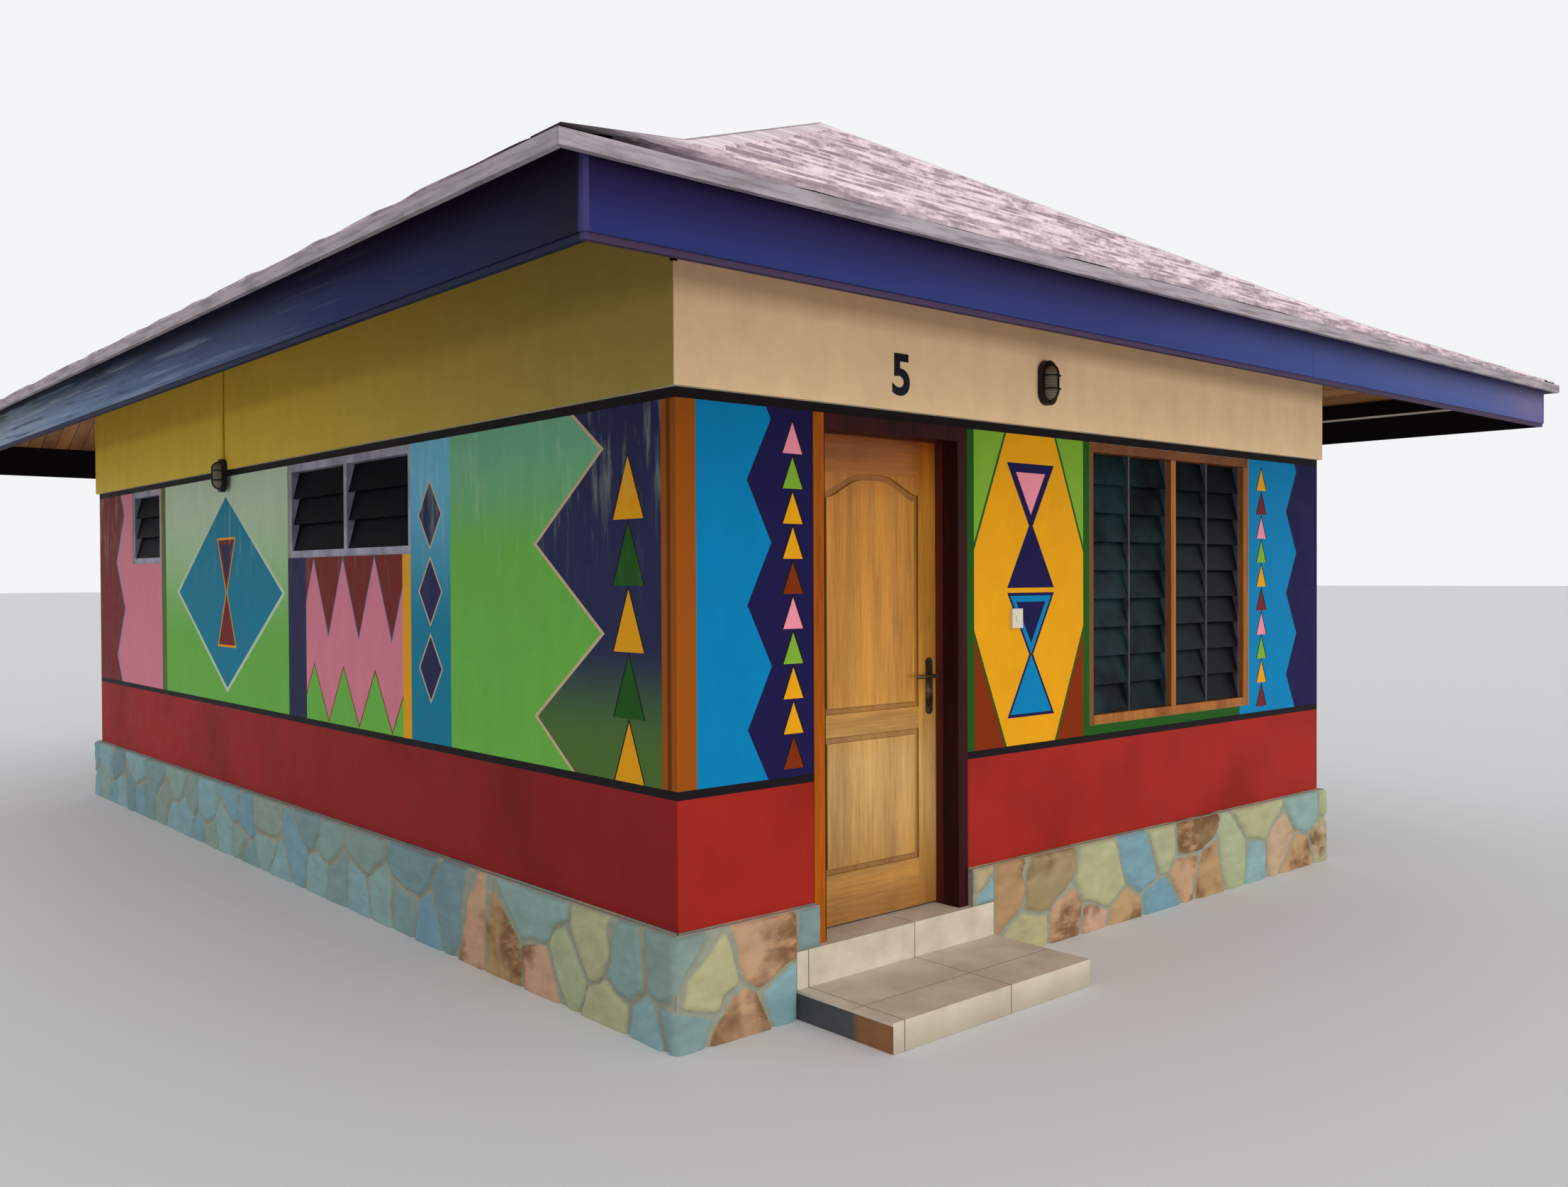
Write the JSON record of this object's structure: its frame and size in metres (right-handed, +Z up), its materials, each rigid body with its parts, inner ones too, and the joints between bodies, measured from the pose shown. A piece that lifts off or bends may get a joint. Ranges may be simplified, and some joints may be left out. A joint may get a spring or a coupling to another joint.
{
  "type": "hip-roofed masonry guest hut",
  "caption": "Rectangular painted masonry guest hut with a hipped shingle roof, wide eaves, stone-faced plinth, louvre window and hinged panelled door.",
  "frame": {"origin": "on the lowest ground, under the centre of the roof's outline", "axes": "+X to the right of someone facing the door, +Y from the front wall to the back wall, +Z up; the door faces -Y"},
  "size_m": [6.89, 9.58, 4.325],
  "materials": {
    "wall_paint": "painted render",
    "rubble_stone": "split stone with pale mortar",
    "floor_screed": "screeded concrete",
    "step_tile": "matt beige tile",
    "door_wood": "varnished golden brown",
    "dark_frame_wood": "dark maroon varnish",
    "window_frame_wood": "orange brown varnish",
    "blue_board": "weathered indigo paint",
    "pale_board": "weathered pale grey paint",
    "soffit_board": "brown stain",
    "roof_shingle": "granule surfaced shingle",
    "window_metal": "mill finish",
    "dark_glass": "tinted",
    "lamp_metal": "black paint",
    "door_metal": "dulled",
    "hinge_steel": "brushed",
    "cream_plastic": "matt"
  },
  "bodies": {
    "root": {"floor_slab": "floor_screed", "plinth_front_left": "rubble_stone", "plinth_front_right": "rubble_stone", "plinth_left": "rubble_stone", "plinth_right": "rubble_stone", "plinth_back": "rubble_stone", "front_wall_left": "wall_paint", "front_wall_over_door": "wall_paint", "front_wall_right": "wall_paint", "left_wall": "wall_paint", "right_wall": "wall_paint", "back_wall": "wall_paint", "threshold_step": "step_tile", "front_step": "step_tile", "door_frame": "dark_frame_wood", "frame_hinges": "hinge_steel", "louvre_window_frame": "window_frame_wood", "louvre_carriers": "window_metal", "louvre_blades": "dark_glass", "left_window_frames": "window_metal", "left_window_panes": "dark_glass", "right_window_frames": "window_metal", "right_window_panes": "dark_glass", "back_window_frame": "window_metal", "back_window_panes": "dark_glass", "soffit_and_ceiling": "soffit_board", "fascia_front": "blue_board", "fascia_back": "blue_board", "fascia_left": "blue_board", "fascia_right": "blue_board", "eave_trim": "pale_board", "roof_front_slope": "roof_shingle", "roof_back_slope": "roof_shingle", "roof_left_slope": "roof_shingle", "roof_right_slope": "roof_shingle", "hip_and_ridge_caps": "roof_shingle", "front_lamp": "lamp_metal", "side_lamp": "lamp_metal", "side_lamp_conduit": "wall_paint", "bell_push": "cream_plastic"},
    "door": {"door_leaf": "door_wood", "leaf_hinges": "hinge_steel", "door_handle": "door_metal"}
  },
  "joints": [
    {"name": "door_hinge", "type": "hinge", "parent": "root", "child": "door", "pos_m": [-1.664, -3.652, 1.28], "axis": [0, 0, 1], "range_deg": [0, 100]}
  ]
}
